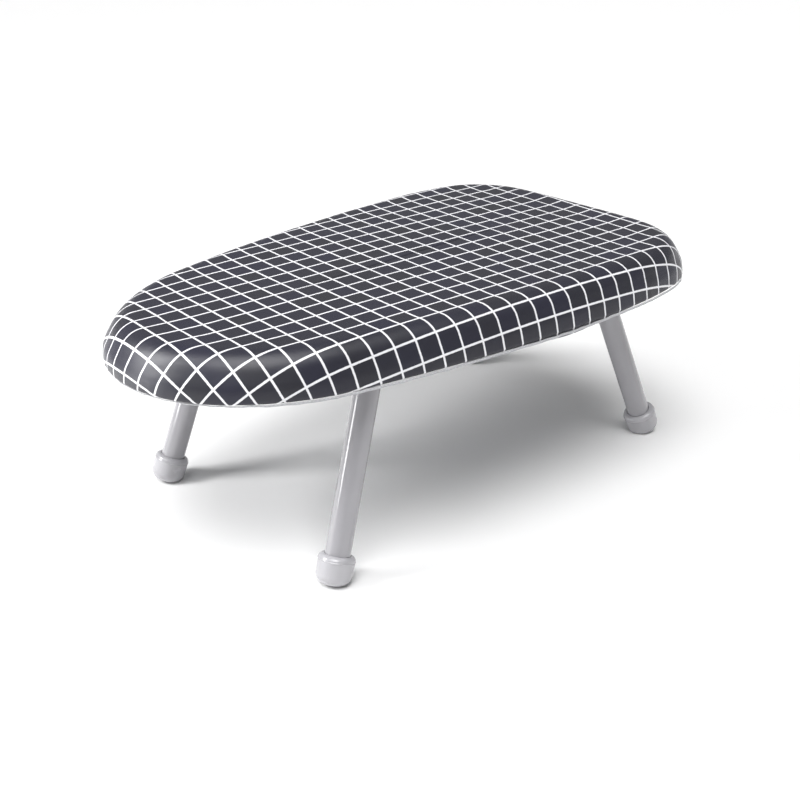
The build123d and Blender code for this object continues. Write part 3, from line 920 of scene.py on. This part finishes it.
class Finish:
    """A material with a Principled shader. Constants are set on its sockets, links made later."""

    def __init__(self, name, **constants):
        self.material = bpy.data.materials.new(name)
        self.material.use_nodes = True
        self.tree = self.material.node_tree
        self.tree.nodes.clear()
        self.shader = self.tree.nodes.new("ShaderNodeBsdfPrincipled")
        output = self.tree.nodes.new("ShaderNodeOutputMaterial")
        self.tree.links.new(self.shader.outputs["BSDF"], output.inputs["Surface"])
        self.feed(self.shader, {key.replace("_", " "): value for key, value in constants.items()})

    def feed(self, node, values):
        """Sets sockets, by name or number, to values or to links."""
        for key, value in values.items():
            socket = node.inputs[key]
            if isinstance(value, Term):
                self.tree.links.new(value.socket, socket)
            elif isinstance(value, tuple) and len(value) == 3 and socket.type == "RGBA":
                socket.default_value = (*value, 1)
            else:
                socket.default_value = value

    def node(self, kind, settings=None, values=None, output=0):
        """One node: its type, its settings, its sockets' values, and the output to go on with."""
        made = self.tree.nodes.new(kind)
        for key, value in (settings or {}).items():
            if key == "stops":
                while len(made.color_ramp.elements) < len(value):
                    made.color_ramp.elements.new(0.5)
                for element, (place, colour) in zip(made.color_ramp.elements, value):
                    element.position, element.color = place, (*colour, 1)
            else:
                setattr(made, key, value)
        self.feed(made, values or {})
        return Term(self, made.outputs[output])

    def mix(self, factor, first, second):
        """One colour going over into another."""
        values = {0: factor, 6: first, 7: second}
        return self.node("ShaderNodeMix", {"data_type": "RGBA"}, values, 2)

    def place(self):
        """Object coordinates, in metres."""
        return self.node("ShaderNodeTexCoord", output="Object")

    def cloth_place(self):
        """The piece's own UV map: its two numbers, and both together."""
        uv = self.node("ShaderNodeUVMap", {"uv_map": "UVMap"})
        split = self.node("ShaderNodeSeparateXYZ", values={0: uv}).socket.node.outputs
        return Term(self, split[0]), Term(self, split[1]), uv

    def noise(self, vector, scale, detail=2.0, roughness=0.5):
        """Smooth noise from 0 to 1."""
        values = {"Vector": vector, "Scale": scale, "Detail": detail, "Roughness": roughness}
        return self.node("ShaderNodeTexNoise", values=values)

    def bump(self, height, depth, strength=1.0):
        """Feeds a height, times a depth in metres, to the shader's normal."""
        values = {"Height": height, "Distance": depth, "Strength": strength}
        self.feed(self.shader, {"Normal": self.node("ShaderNodeBump", values=values)})


def paint(piece, finish):
    """Gives a piece one finish all over."""
    piece.data.materials.clear()
    piece.data.materials.append(finish.material)


def srgb(red, green, blue):
    """A colour from 0..255 screen values, as the linear values that a shader takes."""
    return tuple(
        c / 12.92 if c <= 0.04045 else ((c + 0.055) / 1.055) ** 2.4
        for c in (red / 255, green / 255, blue / 255)
    )


print("helpers ready")

# %% [markdown]
# ## Check cotton
#
# The cloth is a dark slate with a hint of violet, woven with fine white lines. A line is where
# the flat place is within half a line's width of a whole number of squares. Its edges waver by
# a thread or so. The weave itself is far finer: warp and weft pass over each other in turn, so
# the height is a hump along one thread or the other, chosen like a chess board. The white lines
# are painted a touch darker where that hump is low, a painted shade between the threads. The
# finish is calendered, which gives the soft shine on the shoulder.

# %% Check cotton
LINE_SHARE = 0.092              # white line's width, in squares
LINE_SOFTNESS = 0.008
LINE_WAVER = 0.022
THREADS = 46                    # threads to a square
SLATE = srgb(40, 40, 55)
SLATE_WARM = srgb(42, 42, 48)
SLATE_SLUB = srgb(38, 38, 48)
WOVEN_WHITE = srgb(234, 234, 237)
# Painted shade: the white lines' colour where the weave is low, between the threads
WHITE_GAP_SHADE = srgb(228, 228, 232)   # between the white threads


def near_whole(finish, value, half_width, softness):
    """1 where a value is near a whole number and 0 elsewhere, with a soft edge."""
    off = (value + 0.5).maths("FRACT") - 0.5
    near, far = half_width - softness, half_width + softness
    values = {0: off.maths("ABSOLUTE"), 1: near, 2: far, 3: 1.0, 4: 0.0}
    return finish.node("ShaderNodeMapRange", {"interpolation_type": "SMOOTHSTEP"}, values)


def plain_weave(across, along_thread):
    """Height of a plain weave: |sin| of one thread or the other, chosen like a chess board."""
    warp = (across * math.pi).maths("SINE").maths("ABSOLUTE")
    weft = (along_thread * math.pi).maths("SINE").maths("ABSOLUTE")
    odd = (across.maths("FLOOR") + along_thread.maths("FLOOR")).maths("PINGPONG", 1.0)
    return warp * odd + weft * (1 - odd)


def check_cotton():
    """The cover's finish."""
    cloth = Finish("check_cotton", Specular_IOR_Level=0.5)
    u, v, uv = cloth.cloth_place()
    waver = (cloth.noise(uv, 9.0, 3.0) - 0.5) * LINE_WAVER
    across = near_whole(cloth, u + waver, LINE_SHARE / 2, LINE_SOFTNESS)
    along_line = near_whole(cloth, v + waver, LINE_SHARE / 2, LINE_SOFTNESS)
    line = across.maths("MAXIMUM", along_line)
    square = cloth.node("ShaderNodeVectorMath", {"operation": "FLOOR"}, {0: uv})
    tint = cloth.node("ShaderNodeTexWhiteNoise", {"noise_dimensions": "2D"}, {"Vector": square})
    slub = cloth.noise(uv, 30.0, 4.0, 0.7)
    ground = cloth.mix(tint, SLATE, SLATE_WARM)
    ground = cloth.mix((slub - 0.5) * 0.5 + 0.25, ground, SLATE_SLUB)
    weave = plain_weave(u * THREADS, v * THREADS)
    # Darker where the weave is low: painted shade between the threads
    white = cloth.mix(weave * 0.5 + 0.5, WHITE_GAP_SHADE, WOVEN_WHITE)
    cloth.feed(cloth.shader, {
        "Base Color": cloth.mix(line, ground, white),
        "Roughness": line * 0.1 + slub * 0.08 + 0.28,
    })
    cloth.bump(weave + line * 0.5 + slub * 0.4, 0.05 * MM, 0.5)
    return cloth


paint(cover, check_cotton())
print("cover painted")

# %% [markdown]
# ## The other cloth
#
# The tape and the elastic are woven narrow, so their pattern runs along the piece: their UV map
# holds the length along the outline in metres. The felt is a mat of fibres, and foam is a mass
# of small open cells.

# %% Tape, elastic, felt and foam
CORDS = 14                      # lengthwise cords round a band


def ribbon(name, colour, dark, rib_pitch, roughness):
    """A narrow woven band with fine ribs across it, by its length along the outline.

    The colour darkens along the ribs and cords as painted shade of the weave, and in patches of
    soil.
    """
    band = Finish(name, Specular_IOR_Level=0.3, Sheen_Weight=0.15)
    length, turn = band.cloth_place()[:2]
    ribs = (length * (2 * math.pi / rib_pitch)).maths("SINE") * 0.5 + 0.5
    cord = (turn * (2 * math.pi * CORDS)).maths("SINE") * 0.5 + 0.5
    soil = band.noise(band.place(), 90.0, 4.0)
    # Painted shade of the weave along ribs and cords, mixed with soil noise that is dirt
    soil_and_rib_shade = ribs * 0.25 + soil * 0.45 + cord * 0.12
    band.feed(band.shader, {
        "Base Color": band.mix(soil_and_rib_shade, colour, dark),
        "Roughness": soil * 0.15 + roughness,
    })
    band.bump(ribs + cord * 0.6, 0.09 * MM, 0.7)
    return band


def felt_mat():
    """Grey recycled felt: long fibres in two directions, with coloured flecks."""
    mat = Finish("grey_felt", Roughness=0.95, Specular_IOR_Level=0.1, Sheen_Weight=0.3)
    place = mat.place()
    stretched = mat.node("ShaderNodeMapping", values={"Vector": place, "Scale": (1.0, 0.18, 1.0)})
    crossed = mat.node("ShaderNodeMapping", values={"Vector": place, "Scale": (0.2, 1.0, 1.0)})
    fibres = mat.noise(stretched, 2600.0, 5.0, 0.8) * 0.5
    fibres = fibres + mat.noise(crossed, 2300.0, 5.0, 0.8) * 0.5
    flecks = mat.node("ShaderNodeValToRGB", {"stops": (
        (0.0, srgb(96, 94, 92)), (0.45, srgb(150, 148, 145)),
        (0.62, srgb(176, 174, 170)), (1.0, srgb(205, 200, 196)),
    )}, {"Fac": fibres})
    mat.feed(mat.shader, {"Base Color": flecks})
    mat.bump(fibres, 0.25 * MM, 0.8)
    return mat


def open_foam():
    """Pale yellow foam: cells whose walls stand higher than their middles.

    The yellow is darker where the cells' bump is low, a painted shade in the pores.
    """
    slab = Finish("open_foam", Roughness=0.9, Specular_IOR_Level=0.15)
    values = {"Vector": slab.place(), "Scale": 1300.0}
    cells = slab.node("ShaderNodeTexVoronoi", {"feature": "F1"}, values)
    # Darker yellow where the bump is low: painted shade in the pores
    colour = slab.mix(cells, srgb(228, 216, 172), srgb(184, 168, 118))
    slab.feed(slab.shader, {"Base Color": colour})
    slab.bump(1 - cells, 0.2 * MM, 0.9)
    return slab


tape_finish = ribbon("tape_weave", srgb(206, 206, 210), srgb(150, 150, 155), 0.8 * MM, 0.6)
elastic_finish = ribbon("elastic_knit", srgb(232, 232, 230), srgb(176, 176, 176), 1.1 * MM, 0.7)
thread_finish = ribbon("sewing_thread", srgb(226, 226, 228), srgb(170, 170, 172), 0.35 * MM, 0.5)
for piece, finish in (
    (tape, tape_finish), (elastic, elastic_finish), (felt, felt_mat()), (foam, open_foam()),
):
    paint(piece, finish)
print("bands, felt and foam painted")

# %% [markdown]
# ## Paint, plastic and plated steel
#
# The legs are gloss white enamel, which is never quite flat: a long soft waviness bends its
# reflections. Their colour is set to a mid grey, a painted shade of legs that stand under the
# board. The tray has a matt powder coat with an orange-peel skin. The caps are moulded and a
# little duller than the legs, and grey in the same way, as painted shade. Zinc plating is a
# patchwork of faint crystals. Each paint is a touch greyer in places where hands and dust have
# been.

# %% Hard finishes
def painted(name, colour, worn, roughness, peel_scale, peel_depth, coat):
    """Paint on steel, or moulded plastic: a skin of smooth noise, and faint dulling in patches."""
    coatings = Finish(name, Coat_Weight=coat, Coat_Roughness=0.08, Specular_IOR_Level=0.5)
    place = coatings.place()
    peel = coatings.noise(place, peel_scale, 2.0)
    patches = coatings.noise(place, 28.0, 4.0, 0.6)
    coatings.feed(coatings.shader, {
        "Base Color": coatings.mix(patches, colour, worn),
        "Roughness": patches * 0.12 + roughness,
    })
    coatings.bump(peel, peel_depth, 0.6)
    return coatings


def plated(name, colour, dark, roughness, grain):
    """Zinc on steel: crystals of slightly different brightness under fine rolling marks."""
    plate = Finish(name, Metallic=1.0)
    place = plate.place()
    values = {"Vector": place, "Scale": grain}
    crystals = plate.node("ShaderNodeTexVoronoi", {"feature": "F1"}, values, "Color")
    split = plate.node("ShaderNodeSeparateColor", values={0: crystals})
    values = {"Vector": place, "Scale": (1.0, 0.05, 1.0)}
    long_marks = plate.node("ShaderNodeMapping", values=values)
    marks = plate.noise(long_marks, 1800.0, 3.0)
    plate.feed(plate.shader, {
        "Base Color": plate.mix(split * 0.5 + marks * 0.3, colour, dark),
        "Roughness": split * 0.16 + roughness,
    })
    plate.bump(marks, 0.02 * MM, 0.5)
    return plate


# Mid grey instead of white: painted shade of the legs under the board
enamel = painted(
    "white_enamel", srgb(161, 160, 164), srgb(153, 152, 156), 0.14, 60.0, 0.12 * MM, 0.6
)
powder = painted(
    "grey_powder_coat", srgb(186, 188, 192), srgb(172, 174, 178), 0.5, 1500.0, 0.05 * MM, 0.0
)
# Grey in the same way as the enamel: painted shade of the caps under the board
moulded = painted(
    "moulded_cap", srgb(173, 172, 176), srgb(168, 167, 171), 0.2, 90.0, 0.006 * MM, 0.6
)
nylon = painted(
    "white_nylon", srgb(232, 230, 222), srgb(214, 212, 204), 0.38, 700.0, 0.02 * MM, 0.0
)
weld = painted(
    "painted_weld", srgb(178, 178, 182), srgb(158, 158, 162), 0.24, 1800.0, 0.06 * MM, 0.4
)
strap_zinc = plated("strap_zinc", srgb(196, 198, 202), srgb(150, 152, 158), 0.32, 420.0)
screw_zinc = plated("screw_zinc", srgb(206, 206, 204), srgb(160, 160, 162), 0.24, 900.0)
# Plain shapes that a cloth piece stands in for are not seen, so they take any band's finish
by_slot = {
    "tray_paint": powder, "leg_paint": enamel, "foot_plastic": moulded, "saddle_zinc": strap_zinc,
    "screw_zinc": screw_zinc, "liner_nylon": nylon, "cover_cloth": tape_finish, "felt": tape_finish,
    "foam": tape_finish, "binding_tape": tape_finish, "elastic_webbing": elastic_finish,
}
for node in nodes.values():
    paint(node, by_slot[node.data.materials[0].name.split(".")[0]])
for piece in caps.values():
    paint(piece, moulded)
for piece in beads_made.values():
    paint(piece, weld)
paint(spots, powder)
paint(stitches, thread_finish)
paint(threads, thread_finish)
print("finishes:", len(bpy.data.materials))

# %% [markdown]
# ## Floor, light and camera
#
# A pale floor under a sky that is bright above the camera's side and dim lower down acts like
# one very wide softbox: the floor is evenly white as far as it goes, and the shine draws itself
# along the shoulder. Past the floor's end the camera sees plain white. Two small boxes on the
# left shape the legs. The camera stands ahead of the nose, to the right, and looks down at 25
# degrees.

# %% Studio
from mathutils import Matrix, Vector

FLOOR_SIZE = 80.0
FLOOR_CELLS = 40
FLOOR_GREY = srgb(236, 236, 236)


def floor_surface():
    """A square of 40 by 40 cells, level with the soles of the caps."""
    side = np.linspace(-FLOOR_SIZE / 2, FLOOR_SIZE / 2, FLOOR_CELLS + 1)
    x, y = np.meshgrid(side, side, indexing="ij")
    return np.stack([x, y, 0 * x], -1)


floor = grid_piece("studio_floor", floor_surface(), wrap_columns=False)
floor_finish = Finish("studio_paper", Base_Color=FLOOR_GREY, Roughness=0.9, Specular_IOR_Level=0.1)
paint(floor, floor_finish)


def softbox(name, place, aim, size, power):
    """A square area light at a place, turned to look at a point."""
    lamp = bpy.data.lights.new(name, "AREA")
    lamp.energy, lamp.size = power, size
    holder = bpy.data.objects.new(name, lamp)
    holder.location = place
    way = Vector(aim) - Vector(place)
    holder.rotation_euler = way.to_track_quat("-Z", "Y").to_euler()
    bpy.context.scene.collection.objects.link(holder)


board_middle = (0.0, 0.0, board_top)
softbox("left_box", (-1.15, 0.72, 1.05), board_middle, 0.5, 20)
softbox("low_box", (-1.25, 0.6, 0.25), board_middle, 0.3, 4)

SKY_LOW, SKY_HIGH = 0.26, 6.8
GLOW_WAY = (-0.21, -0.19, 0.959)   # towards the brightest part of the sky
GLOW_START, GLOW_END = 0.88, 0.965   # cosines of the angles from it where the glow fades
world = bpy.data.worlds.new("studio_sky")
world.use_nodes = True
sky = world.node_tree
way = sky.nodes.new("ShaderNodeTexCoord")
towards = sky.nodes.new("ShaderNodeVectorMath")
towards.operation = "DOT_PRODUCT"
towards.inputs[1].default_value = GLOW_WAY
glow = sky.nodes.new("ShaderNodeMapRange")
glow.interpolation_type = "SMOOTHSTEP"
for number, value in ((1, GLOW_START), (2, GLOW_END), (3, SKY_LOW), (4, SKY_HIGH)):
    glow.inputs[number].default_value = value
sky.links.new(way.outputs["Generated"], towards.inputs[0])
sky.links.new(towards.outputs["Value"], glow.inputs[0])
seen = sky.nodes.new("ShaderNodeLightPath")
backdrop = sky.nodes.new("ShaderNodeMath")
backdrop.operation = "MAXIMUM"
sky.links.new(glow.outputs[0], backdrop.inputs[0])
sky.links.new(seen.outputs["Is Camera Ray"], backdrop.inputs[1])
sky.links.new(backdrop.outputs[0], sky.nodes["Background"].inputs["Strength"])
sky.nodes["Background"].inputs["Color"].default_value = (1, 1, 1, 1)
bpy.context.scene.world = world
bpy.context.scene.view_settings.view_transform = "Standard"

# %% Camera
CAMERA_PLACE = (-0.7643, -0.8401, 0.6065)
CAMERA_FORWARD = (0.61223, 0.66489, -0.42790)
CAMERA_UP = (0.29476, 0.31024, 0.90381)
LENS, SENSOR = 57.03, 36.0      # millimetres

camera = bpy.data.objects.new("camera", bpy.data.cameras.new("camera"))
camera.data.lens = LENS
camera.data.sensor_width = SENSOR
forward, upward_way = Vector(CAMERA_FORWARD).normalized(), Vector(CAMERA_UP).normalized()
right = forward.cross(upward_way).normalized()
turn = Matrix((right, right.cross(forward), -forward)).transposed()
camera.matrix_world = Matrix.Translation(CAMERA_PLACE) @ turn.to_4x4()
bpy.context.scene.collection.objects.link(camera)
bpy.context.scene.camera = camera
